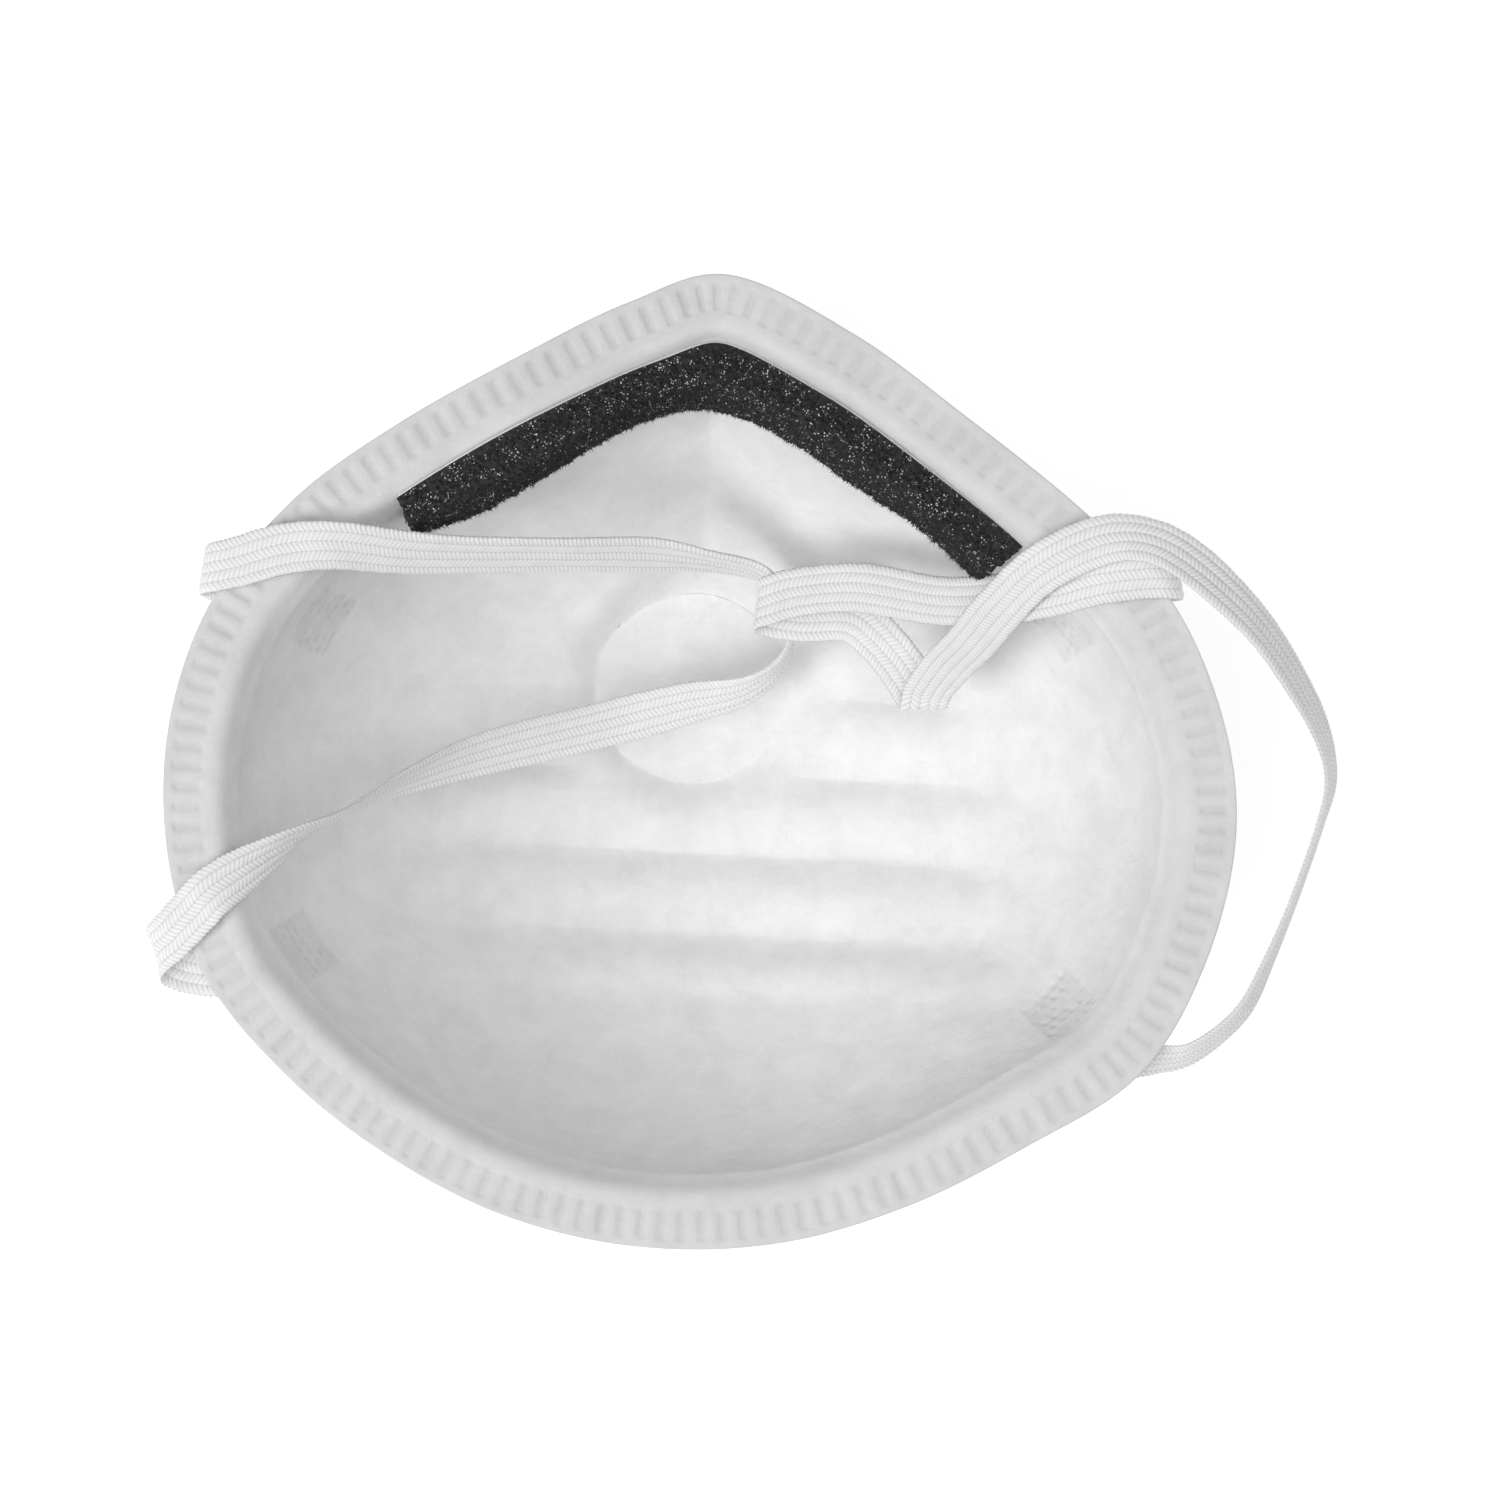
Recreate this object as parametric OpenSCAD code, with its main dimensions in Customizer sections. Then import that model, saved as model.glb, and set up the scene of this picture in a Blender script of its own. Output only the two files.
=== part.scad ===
// Disposable cup dust mask: four bonded nonwoven layers, nose clip, nose foam
// and two flat braided ear loops welded to the outside of the cup.
// Frame: opening up +Z, nose towards +Y, the cup rests on its flat boss at z = 0.

/* [Cup] */
// Height of the face seal at the cheeks (mm)
side_height = 48.5; // [42:0.5:56]
// How much lower the seal is at the nose (mm)
nose_drop = 8; // [4:0.5:12]
// How much lower the seal is at the chin (mm)
chin_drop = 4; // [2:0.5:8]
// Width of the welded flange (mm)
flange_width = 6; // [4:0.5:9]
// Rise of the flange from its root to its edge (mm)
flange_rise = 0.3; // [0:0.1:2]

/* [Layers] */
// Outer cover web (mm)
cover_thickness = 0.4; // [0.2:0.1:0.8]
// Moulded support felt (mm)
shell_thickness = 1.2; // [0.8:0.1:2]
// Filter web (mm)
filter_thickness = 0.6; // [0.3:0.1:1.2]
// Face side liner web (mm)
liner_thickness = 0.4; // [0.2:0.1:0.8]
// Thickness left in the welded flange, as a share of the full thickness
weld_share = 0.45; // [0.3:0.05:0.7]

/* [Relief] */
// Radius of the flat boss (mm)
boss_radius = 16.5; // [10:0.5:18]
// Depth of the flat boss (mm)
boss_depth = 2.2; // [1:0.1:4]
// Pitch of the stiffening corrugations (mm)
rib_pitch = 11; // [8:0.2:16]
// Half height of the corrugations (mm)
rib_height = 0.9; // [0:0.1:2]

/* [Nose parts] */
// Thickness of the foam strip (mm)
foam_thickness = 5.2; // [3:0.1:7]
// Thickness of the tape under the foam (mm)
tape_thickness = 0.15; // [0.1:0.05:0.3]
// Thickness of the aluminium nose clip (mm)
clip_thickness = 0.8; // [0.4:0.1:1.2]
// Thickness of the adhesive under the clip (mm)
glue_thickness = 0.15; // [0.1:0.05:0.3]

/* [Ear loops] */
// Width of the flat elastic (mm)
strap_width = 6.2; // [4:0.1:8]
// Thickness of the flat elastic (mm)
strap_thickness = 0.9; // [0.6:0.1:1.5]

/* [Hidden] */

// flange edge seen along Z, clockwise from the nose
rim = [[3.5,60.5],[19,53],[33,42.5],[46.5,31.5],[57.5,20.5],[64,6],[65.8,-9],[62,-25],
       [54,-38.5],[40,-47.5],[25,-55],[9,-59.5],[-8,-59.8],[-24,-56],[-38.5,-48.5],[-51,-38.5],
       [-61,-26],[-65.5,-11],[-65.2,5],[-60,20],[-50,32.5],[-37,42],[-22,50.5],[-9,57]];
pole = [-1.5, 10];
cols = 72;
shares = [0, 0.12, 0.24, 0.36, 0.46, 0.55, 0.64, 0.74, 0.84, 0.92, 1];
rows = len(shares) + 4;

d1 = cover_thickness;
d2 = d1 + shell_thickness;
d3 = d2 + filter_thickness;
d4 = d3 + liner_thickness;

function cr(a, b, c, d, t) =
  0.5 * (2*b + (c - a)*t + (2*a - 5*b + 4*c - d)*t*t + (3*b - a - 3*c + d)*t*t*t);
function ring_at(p, u) = let (n = len(p), v = (u - floor(u))*n, i = floor(v), t = v - i)
  cr(p[(i + n - 1) % n], p[i % n], p[(i + 1) % n], p[(i + 2) % n], t);
function sm(a, b, x) = let (t = max(0, min(1, (x - a)/(b - a)))) t*t*(3 - 2*t);
function unit(v) = v / norm(v);
function seal_z(y) = side_height - (y > 0 ? nose_drop : chin_drop)*(y/60)*(y/60);

function in_dir(u) = let (d = ring_at(rim, u + 0.014) - ring_at(rim, u - 0.014),
  n = unit([d[1], -d[0]])) n * sign(-(n * ring_at(rim, u)));
function seat(u, e) = ring_at(rim, u) + in_dir(u)*e;

function relief(x, y, zz) =
  let (w = (1 - sm(34, 46, abs(x + 0.5))) * sm(-35, -28, y) * (1 - sm(20, 27, y)),
       r = norm([x, y] - pole))
  -rib_height*w*sin(360*(y + 26.2 + 0.05*x)/rib_pitch)*max(0, 1 - zz)*sm(boss_radius, boss_radius + 3, r)
  - boss_depth*(1 - sm(boss_radius - 1.6, boss_radius + 1, r));

// point of the outer face: column i, row k
function surf(i, k) =
  let (u = i/cols, b = seat(u, flange_width), dist = norm(b - pole), a = (b - pole)/dist,
       p = 2.7 - 0.8*sm(0.25, 1, a[1]) - 0.25*sm(0.2, 1, -a[1]),
       q = 1.6 - 0.3*sm(0.25, 1, a[1]) - 0.1*sm(0.2, 1, -a[1]),
       r0 = (boss_radius + 1)/dist, t0 = asin(pow(r0, p/2)), zr = seal_z(b[1]))
  k == 0 ? concat(pole, [0]) :
  k == 1 ? concat(pole + a*(boss_radius - 1.6), [0]) :
  k <= len(shares) + 1 ?
    let (t = t0 + (90 - t0)*shares[k - 2], r = pow(sin(t), 2/p), c = max(0, cos(t)),
         zz = 1 - pow(c, 2/q), xy = pole + a*dist*r)
    concat(xy, [boss_depth + (zr - boss_depth)*zz + relief(xy[0], xy[1], zz)]) :
  let (e = k == len(shares) + 2 ? flange_width - 1.4 : 0, s = seat(u, e))
    concat(s, [seal_z(b[1]) + flange_rise*(0.4 + 0.6*(1 - e/flange_width))]);

pts = [for (i = [0:cols - 1]) [for (k = [0:rows - 1]) surf(i, k)]];
last = rows - 1;
function at(i, k) = pts[(i + cols) % cols][k];
function nrm(i, k) =
  k == 0 ? [0, 0, 1] :
  let (du = at(i + 1, k) - at(i - 1, k), dv = at(i, min(last, k + 1)) - at(i, k - 1))
  unit(cross(du, dv));
nrms = [for (i = [0:cols - 1]) [for (k = [0:last]) nrm(i, k)]];
function share_at(k) = k >= last - 1 ? weld_share : k == last - 2 ? 0.8 : 1;
function lay(i, k, d) = at(i, k) + nrms[(i + cols) % cols][k]*d*(abs(d) <= d4 && d > 0 ? share_at(k) : 1);

// one bonded layer between two depths below the outer face
module layer(a, b) {
  n = cols; m = last;
  v = [for (d = [a, b]) each concat([at(0, 0) + [0, 0, d]], [for (i = [0:n - 1]) for (k = [1:m]) lay(i, k, d)])];
  s = 1 + n*m;
  function id(f, i, k) = f*s + (k == 0 ? 0 : 1 + (i % n)*m + k - 1);
  f = concat(
    [for (i = [0:n - 1]) [id(1, i, 0), id(1, i, 1), id(1, i + 1, 1)]],
    [for (i = [0:n - 1]) for (k = [1:m - 1]) each [[id(1, i, k), id(1, i, k + 1), id(1, i + 1, k + 1)],
                                                   [id(1, i, k), id(1, i + 1, k + 1), id(1, i + 1, k)]]],
    [for (i = [0:n - 1]) [id(0, i + 1, 1), id(0, i, 1), id(0, i, 0)]],
    [for (i = [0:n - 1]) for (k = [1:m - 1]) each [[id(0, i + 1, k + 1), id(0, i, k + 1), id(0, i, k)],
                                                   [id(0, i + 1, k), id(0, i + 1, k + 1), id(0, i, k)]]],
    [for (i = [0:n - 1]) each [[id(1, i, m), id(0, i, m), id(0, i + 1, m)],
                               [id(1, i, m), id(0, i + 1, m), id(1, i + 1, m)]]]);
  polyhedron(points = v, faces = f, convexity = 8);
}

// a pad that follows the cup between two depths, columns i0..i1, rows k0..k1
module pad(i0, i1, k0, k1, a, b) {
  n = i1 - i0; m = k1 - k0;
  v = [for (d = [a, b]) for (i = [0:n]) for (k = [0:m]) lay(i0 + i + cols, k0 + k, d)];
  s = (n + 1)*(m + 1);
  function id(f, i, k) = f*s + i*(m + 1) + k;
  f = concat(
    [for (i = [0:n - 1]) for (k = [0:m - 1]) each [
      [id(1, i, k), id(1, i, k + 1), id(1, i + 1, k + 1)], [id(1, i, k), id(1, i + 1, k + 1), id(1, i + 1, k)],
      [id(0, i + 1, k + 1), id(0, i, k + 1), id(0, i, k)], [id(0, i + 1, k), id(0, i + 1, k + 1), id(0, i, k)]]],
    [for (i = [0:n - 1]) each [
      [id(1, i, m), id(0, i, m), id(0, i + 1, m)], [id(1, i, m), id(0, i + 1, m), id(1, i + 1, m)],
      [id(1, i + 1, 0), id(0, i + 1, 0), id(0, i, 0)], [id(1, i + 1, 0), id(0, i, 0), id(1, i, 0)]]],
    [for (k = [0:m - 1]) each [
      [id(1, 0, k + 1), id(1, 0, k), id(0, 0, k)], [id(1, 0, k + 1), id(0, 0, k), id(0, 0, k + 1)],
      [id(1, n, k), id(1, n, k + 1), id(0, n, k + 1)], [id(1, n, k), id(0, n, k + 1), id(0, n, k)]]]);
  polyhedron(points = v, faces = f, convexity = 4);
}

// each route point: position, then the direction of the strap width
left_route = [
  [[-47.8,18.7,26.2],[0.54,0.84,0]], [[-49.8,19.1,30.3],[0.54,0.84,0]], [[-51.6,19.4,34.9],[0.54,0.84,0]],
  [[-53,19.7,40],[0.54,0.84,0]], [[-54.8,20.4,43.8],[0.5,0.85,0]], [[-58,22.3,45.6],[0.35,0.93,0]],
  [[-60.2,23.2,46.6],[0.2,1,0]], [[-61,23.6,48.4],[0.15,1,0]], [[-59.8,23.9,50.1],[0.1,1,0]],
  [[-56.6,24.6,50.4],[0,1,0]], [[-50.8,26.2,50.2],[0,1,0]], [[-44.4,26.6,49.3],[0,0.95,0.3]],
  [[-34.6,25.8,44.6],[0,0.75,0.65]], [[-18,26,36.4],[0,0.6,0.8]], [[-7.8,26.2,30.4],[0.1,0.7,0.8]],
  [[-0.3,25.7,26],[0.1,0.4,0.95]], [[6.1,24.6,21.5],[0.2,0.25,0.95]], [[9.6,22.4,19.2],[0.1,0.1,1]],
  [[12,19.3,17.8],[0,0,1]], [[11.4,15.6,16.8],[0,0.1,1]], [[9.2,11.8,15.6],[-0.1,0.3,1]],
  [[4.8,9,14.6],[-0.1,0.6,0.8]], [[-2.5,7.4,14.4],[-0.2,0.9,0.5]], [[-13.3,4.7,16.6],[-0.25,0.95,0.35]],
  [[-28.4,0.9,25],[-0.05,0.9,0.5]], [[-38,-2.6,33.5],[0.35,0.6,0.75]], [[-46.1,-7.2,42],[0.55,0.33,0.76]],
  [[-51.5,-10.4,47.8],[0.2,0.7,0.65]], [[-58.9,-15.2,51.5],[-0.45,0.85,0.2]], [[-62.2,-18.5,51.3],[-0.5,0.85,0]],
  [[-65,-21.4,50.5],[-0.4,0.92,0]], [[-66.7,-23,49],[-0.35,0.94,0]], [[-66.2,-24.2,47.2],[-0.35,0.94,0]],
  [[-63.6,-25.3,46],[-0.4,0.9,0]], [[-59,-26,45],[-0.5,0.85,0]], [[-55.1,-25.9,43.1],[-0.55,0.83,0]],
  [[-53.6,-25.5,39.8],[-0.56,0.83,0]], [[-52.3,-25,36.2],[-0.58,0.82,0]], [[-50.9,-24.2,32.4],[-0.58,0.82,0]],
  [[-49.3,-23,28.9],[-0.58,0.82,0]], [[-47.3,-21.7,25.1],[-0.59,0.81,0]]];
left_cut = [8, 30];

right_route = [
  [[44.7,18.5,24.8],[-0.64,0.77,0]], [[46.5,18.8,28.1],[-0.64,0.77,0]], [[48.2,19.1,31.9],[-0.64,0.77,0]],
  [[49.5,19.4,35.6],[-0.64,0.77,0]], [[50.6,19.5,39.3],[-0.64,0.77,0]], [[52,20.1,43.2],[-0.6,0.8,0]],
  [[54.4,21.8,45.2],[-0.45,0.9,0]], [[57.2,22.7,46.1],[-0.25,1,0]], [[58.7,23,47.8],[-0.2,1,0]],
  [[57.4,23.1,49.7],[-0.2,1,0]], [[54.4,23.1,50.4],[-0.1,1,0.1]], [[48.8,22.4,50.4],[0,1,0]],
  [[43,20.9,48.6],[0,1,0]], [[37,20.2,43.2],[0,1,0]], [[29.8,20.2,37.2],[0,1,0]],
  [[20,22,31.6],[0,1,0]], [[12.5,21.6,28.9],[0.1,1,0]], [[8.6,20.6,27.8],[0.1,1,0]],
  [[7.2,19.8,26],[0.1,1,0]], [[8.8,19,24.4],[0.1,1,0]], [[13,18.4,23.8],[0.3,1,0]],
  [[18.8,18.4,24],[0.65,0.8,0.1]], [[22.2,16,24.6],[0.85,0.45,0.3]], [[25.4,12.2,25],[0.95,0.2,0.2]],
  [[27.5,8.8,25.3],[1,0.05,0]], [[28.2,7,26.4],[1,0,0]], [[28.7,8.8,27.8],[1,-0.05,0]],
  [[30.8,11.8,32.6],[0.93,-0.3,0.1]], [[33.6,14.8,39.2],[0.85,-0.5,0.1]], [[36.6,18.6,45.8],[0.8,-0.6,0.1]],
  [[41.4,23.4,51],[0.65,-0.75,0]], [[47.8,26.7,52.2],[0.35,-0.92,0.1]], [[53.2,27.4,52.6],[0.05,-0.9,0.35]],
  [[58.6,25.4,52.9],[-0.2,-0.85,0.45]], [[65.6,19.4,53.6],[-0.45,-0.65,0.6]], [[70.6,13.2,54],[-0.5,-0.4,0.75]],
  [[75,5.4,53.8],[-0.45,-0.2,0.85]], [[77,-1.4,53],[-0.3,0,0.95]], [[75.9,-7.6,51.5],[-0.2,0,1]],
  [[73.1,-16.5,49],[-0.2,0,0.97]], [[70,-24.6,46.6],[-0.3,0,0.95]], [[66.6,-31.4,44.7],[-0.3,0.25,0.92]],
  [[61,-36,44],[0,0.5,0.85]], [[56.4,-36.9,43.8],[0.2,0.6,0.75]], [[52.8,-36.6,43],[0.4,0.7,0.45]],
  [[50.2,-35.5,41.6],[0.65,0.72,0.1]], [[48.9,-34.2,38.5],[0.71,0.7,0]], [[47.7,-33.2,35.3],[0.72,0.7,0]],
  [[46.3,-32.3,32],[0.72,0.7,0]], [[44.9,-30.8,28.6],[0.73,0.69,0]], [[42.9,-29,24.8],[0.75,0.66,0]]];
right_cut = [9, 42];

steps = 2;
function route_at(r, j) = let (n = len(r), i = min(n - 2, floor(j/steps)), t = j/steps - i,
  a = r[max(0, i - 1)], b = r[i], c = r[i + 1], d = r[min(n - 1, i + 2)])
  [cr(a[0], b[0], c[0], d[0], t), unit(b[1])*(1 - t) + unit(c[1])*t];
function section(w, t) = let (a = w/2, b = t/2, c = 0.28)
  [[a, -b*0.4], [a, b*0.4], [a - c, b], [-a + c, b], [-a, b*0.4], [-a, -b*0.4], [-a + c, -b], [a - c, -b]];

// flat elastic swept along a route between two route points
module strap(r, from, to) {
  sec = section(strap_width, strap_thickness);
  j0 = from*steps; j1 = to*steps; n = len(sec); m = j1 - j0;
  v = [for (j = [j0:j1]) let (
         e = 0.02*steps,
         a = route_at(r, j), f = route_at(r, min(j + e, (len(r) - 1)*steps)), g = route_at(r, max(0, j - e)),
         t = unit(f[0] - g[0]), w = unit(a[1] - t*(a[1]*t)), h = cross(t, w))
       for (s = sec) a[0] + w*s[0] + h*s[1]];
  f = concat(
    [[for (a = [0:n - 1]) a]], [[for (a = [0:n - 1]) m*n + n - 1 - a]],
    [for (j = [0:m - 1]) for (a = [0:n - 1]) each [
       [j*n + a, (j + 1)*n + a, (j + 1)*n + (a + 1) % n], [j*n + a, (j + 1)*n + (a + 1) % n, j*n + (a + 1) % n]]]);
  polyhedron(points = v, faces = f, convexity = 6);
}

module outer_cover() { color("#e9ecec") layer(0, d1); }
module support_shell() { color("#f2f2ee") layer(d1, d2); }
module filter_media() { color("#f6f7f7") layer(d2, d3); }
module inner_liner() { color("#f4f5f5") layer(d3, d4); }
module nose_clip_adhesive() { color("#d8cfa0") pad(-7, 9, 8, 9, -glue_thickness, 0); }
module nose_clip() { color("#b9bec2") pad(-7, 9, 8, 9, -glue_thickness - clip_thickness, -glue_thickness); }
module foam_tape() { color("#dadada") pad(-10, 8, 9, 11, d4, d4 + tape_thickness); }
module nose_foam() { color("#1c1c1d") pad(-10, 8, 9, 11, d4 + tape_thickness, d4 + tape_thickness + foam_thickness); }
module left_ear_loop() { color("#ececea") strap(left_route, left_cut[0], left_cut[1]); }
module left_loop_upper_tab() { color("#e4e4e1") strap(left_route, 0, left_cut[0]); }
module left_loop_lower_tab() { color("#e4e4e1") strap(left_route, left_cut[1], len(left_route) - 1); }
module right_ear_loop() { color("#ececea") strap(right_route, right_cut[0], right_cut[1]); }
module right_loop_upper_tab() { color("#e4e4e1") strap(right_route, 0, right_cut[0]); }
module right_loop_lower_tab() { color("#e4e4e1") strap(right_route, right_cut[1], len(right_route) - 1); }

outer_cover();
support_shell();
filter_media();
inner_liner();
nose_clip();
nose_clip_adhesive();
nose_foam();
foam_tape();
left_ear_loop();
left_loop_upper_tab();
left_loop_lower_tab();
right_ear_loop();
right_loop_upper_tab();
right_loop_lower_tab();
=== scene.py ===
import math
import bpy
import numpy as np
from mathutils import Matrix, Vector
from mathutils.kdtree import KDTree


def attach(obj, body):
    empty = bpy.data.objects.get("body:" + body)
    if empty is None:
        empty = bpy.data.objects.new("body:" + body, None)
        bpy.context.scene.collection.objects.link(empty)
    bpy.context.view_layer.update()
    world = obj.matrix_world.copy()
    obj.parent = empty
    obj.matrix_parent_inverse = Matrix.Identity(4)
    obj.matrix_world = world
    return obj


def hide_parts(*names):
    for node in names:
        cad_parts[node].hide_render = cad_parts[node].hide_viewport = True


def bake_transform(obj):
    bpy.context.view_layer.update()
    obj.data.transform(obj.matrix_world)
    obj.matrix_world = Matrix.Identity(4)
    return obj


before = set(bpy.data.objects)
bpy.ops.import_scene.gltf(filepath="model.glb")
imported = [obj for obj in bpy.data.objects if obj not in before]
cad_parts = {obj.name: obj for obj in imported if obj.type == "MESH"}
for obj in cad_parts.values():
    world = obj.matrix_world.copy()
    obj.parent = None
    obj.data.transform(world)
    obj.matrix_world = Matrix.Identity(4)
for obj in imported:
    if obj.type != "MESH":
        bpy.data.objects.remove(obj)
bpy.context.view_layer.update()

MM = 0.001
RNG = np.random.default_rng(7)

# ------------------------------------------------------------------ cup shape, the same rules as the CAD
RIM = np.array([(3.5, 60.5), (19, 53), (33, 42.5), (46.5, 31.5), (57.5, 20.5), (64, 6), (65.8, -9), (62, -25),
                (54, -38.5), (40, -47.5), (25, -55), (9, -59.5), (-8, -59.8), (-24, -56), (-38.5, -48.5), (-51, -38.5),
                (-61, -26), (-65.5, -11), (-65.2, 5), (-60, 20), (-50, 32.5), (-37, 42), (-22, 50.5), (-9, 57)], float)
POLE = np.array([-1.5, 10.0])
SIDE_H, NOSE_DROP, CHIN_DROP = 48.5, 8.0, 4.0
FLANGE_W, FLANGE_RISE = 6.0, 0.3
BOSS_R, BOSS_D = 16.5, 2.2
RIB_P, RIB_H = 11.0, 0.9
D1, D2, D3, D4 = 0.4, 1.6, 2.2, 2.6
WELD = 0.45
TAPE_T, FOAM_T, CLIP_T, GLUE_T = 0.15, 5.2, 0.8, 0.15
STRAP_W, STRAP_T = 6.2, 0.9


def cr(a, b, c, d, t):
    return 0.5 * (2 * b + (c - a) * t + (2 * a - 5 * b + 4 * c - d) * t * t + (3 * b - a - 3 * c + d) * t ** 3)


def sm(a, b, x):
    t = np.clip((x - a) / (b - a), 0, 1)
    return t * t * (3 - 2 * t)


def rim_at(u):
    n = len(RIM)
    v = (u - np.floor(u)) * n
    i = np.floor(v).astype(int)
    t = (v - i)[..., None]
    return cr(RIM[(i - 1) % n], RIM[i % n], RIM[(i + 1) % n], RIM[(i + 2) % n], t)


def in_dir(u):
    d = rim_at(u + 0.014) - rim_at(u - 0.014)
    n = np.stack([d[..., 1], -d[..., 0]], -1)
    n /= np.linalg.norm(n, axis=-1)[..., None]
    return n * np.sign(-(n * rim_at(u)).sum(-1))[..., None]


def seal_z(y):
    return SIDE_H - np.where(y > 0, NOSE_DROP, CHIN_DROP) * (y / 60) ** 2


def ribs(x, y, zz, r):
    w = (1 - sm(34, 46, np.abs(x + 0.5))) * sm(-36, -28, y) * (1 - sm(20, 27, y))
    ph = 2 * np.pi * (y + 26.2 + 0.05 * x) / RIB_P
    wave = np.sin(ph) + 0.10 * np.sin(2 * ph)
    return -RIB_H * w * wave * np.clip(1 - zz, 0, 1) * sm(BOSS_R, BOSS_R + 3, r)


def seat_data(u):
    b = rim_at(u) + in_dir(u) * FLANGE_W
    dist = np.linalg.norm(b - POLE, axis=-1)
    a = (b - POLE) / dist[..., None]
    p = 2.7 - 0.8 * sm(0.25, 1, a[..., 1]) - 0.25 * sm(0.2, 1, -a[..., 1])
    q = 1.6 - 0.3 * sm(0.25, 1, a[..., 1]) - 0.1 * sm(0.2, 1, -a[..., 1])
    return b, dist, a, p, q, seal_z(b[..., 1])


def dome_rho(u, rho):
    """Outer face at a distance rho from the pole, mm; rho is clipped to the seat."""
    b, dist, a, p, q, zr = seat_data(u)
    r = np.clip(rho / dist, 0, 1)
    zz = 1 - np.clip(1 - r ** p, 0, 1) ** (1 / q)
    xy = POLE + a * rho[..., None]
    s = sm(BOSS_R - 2.6, BOSS_R + 1, rho)
    z = s * (BOSS_D + (zr - BOSS_D) * zz) + ribs(xy[..., 0], xy[..., 1], zz, rho) * s
    return np.concatenate([xy, z[..., None]], -1)


def dome_s(u, s):
    """Outer face between the boss (s 0) and the seat (s 1)."""
    b, dist, a, p, q, zr = seat_data(u)
    r0 = (BOSS_R + 1) / dist
    t0 = np.arcsin(r0 ** (p / 2))
    t = t0 + (np.pi / 2 - t0) * s
    r = np.sin(t) ** (2 / p)
    zz = 1 - np.clip(np.cos(t), 0, 1) ** (2 / q)
    xy = POLE + a * (dist * r)[..., None]
    z = BOSS_D + (zr - BOSS_D) * zz + ribs(xy[..., 0], xy[..., 1], zz, dist * r)
    return np.concatenate([xy, z[..., None]], -1)


def flange_e(u, e):
    """Outer face of the flange, e mm in from its edge."""
    b = seat_data(u)[0]
    xy = rim_at(u) + in_dir(u) * e[..., None]
    g = FLANGE_W - e
    z = seal_z(b[..., 1]) + FLANGE_RISE * (0.4 * sm(0, 1.8, g) + 0.6 * g / FLANGE_W)
    return np.concatenate([xy, z[..., None]], -1)


# ------------------------------------------------------------------ noise
_LAT = RNG.random((64, 64, 64)).astype(np.float32) * 2 - 1


def vnoise(p, seed=0):
    """Smooth value noise in -1..1 at points p (…,3)."""
    p = p + seed * 17.37
    f = np.floor(p)
    t = p - f
    t = t * t * (3 - 2 * t)
    i = f.astype(np.int64) & 63
    j = (i + 1) & 63
    out = 0
    for a in (0, 1):
        for b in (0, 1):
            for c in (0, 1):
                w = (t[..., 0] if a else 1 - t[..., 0]) * (t[..., 1] if b else 1 - t[..., 1]) * (t[..., 2] if c else 1 - t[..., 2])
                out = out + w * _LAT[(j if a else i)[..., 0], (j if b else i)[..., 1], (j if c else i)[..., 2]]
    return out


def fbm(p, octaves=3, seed=0):
    out, amp = 0, 1.0
    for k in range(octaves):
        out = out + amp * vnoise(p * (2.03 ** k), seed + k)
        amp *= 0.5
    return out


# ------------------------------------------------------------------ mesh helpers
def make_mesh(name, verts_mm, quads=None, tris=None, attrs=None, smooth=True, uv=None):
    v = np.asarray(verts_mm, np.float64).reshape(-1, 3) * MM
    quads = np.zeros((0, 4), np.int64) if quads is None else np.asarray(quads, np.int64).reshape(-1, 4)
    tris = np.zeros((0, 3), np.int64) if tris is None else np.asarray(tris, np.int64).reshape(-1, 3)
    me = bpy.data.meshes.new(name)
    me.vertices.add(len(v))
    me.vertices.foreach_set("co", v.astype(np.float32).ravel())
    loops = np.concatenate([quads.ravel(), tris.ravel()])
    me.loops.add(len(loops))
    me.loops.foreach_set("vertex_index", loops.astype(np.int32))
    me.polygons.add(len(quads) + len(tris))
    starts = np.concatenate([np.arange(len(quads)) * 4, len(quads) * 4 + np.arange(len(tris)) * 3])
    me.polygons.foreach_set("loop_start", starts.astype(np.int32))
    me.update(calc_edges=True)
    me.validate(clean_customdata=False)
    if smooth:
        me.polygons.foreach_set("use_smooth", np.ones(len(me.polygons), bool))
    for key, val in (attrs or {}).items():
        at = me.attributes.new(key, "FLOAT", "POINT")
        at.data.foreach_set("value", np.asarray(val, np.float32).ravel())
    ob = bpy.data.objects.new(name, me)
    bpy.context.scene.collection.objects.link(ob)
    return ob


def grid_quads(nc, nr, base=0, wrap=True, flip=False):
    """Quads of a grid stored column by column, nr rows each."""
    i = np.arange(nc if wrap else nc - 1)
    k = np.arange(nr - 1)
    I, K = np.meshgrid(i, k, indexing="ij")
    J = (I + 1) % nc
    q = np.stack([I * nr + K, J * nr + K, J * nr + K + 1, I * nr + K + 1], -1).reshape(-1, 4) + base
    return q[:, ::-1] if flip else q


def normals(P, wrap=True):
    """Normals of a grid [columns, rows, 3], pointing to the face side."""
    if wrap:
        du = np.roll(P, -1, 0) - np.roll(P, 1, 0)
    else:
        du = np.gradient(P, axis=0)
    dv = np.gradient(P, axis=1)
    n = np.cross(du, dv)
    return n / np.maximum(np.linalg.norm(n, axis=-1), 1e-9)[..., None]


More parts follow.
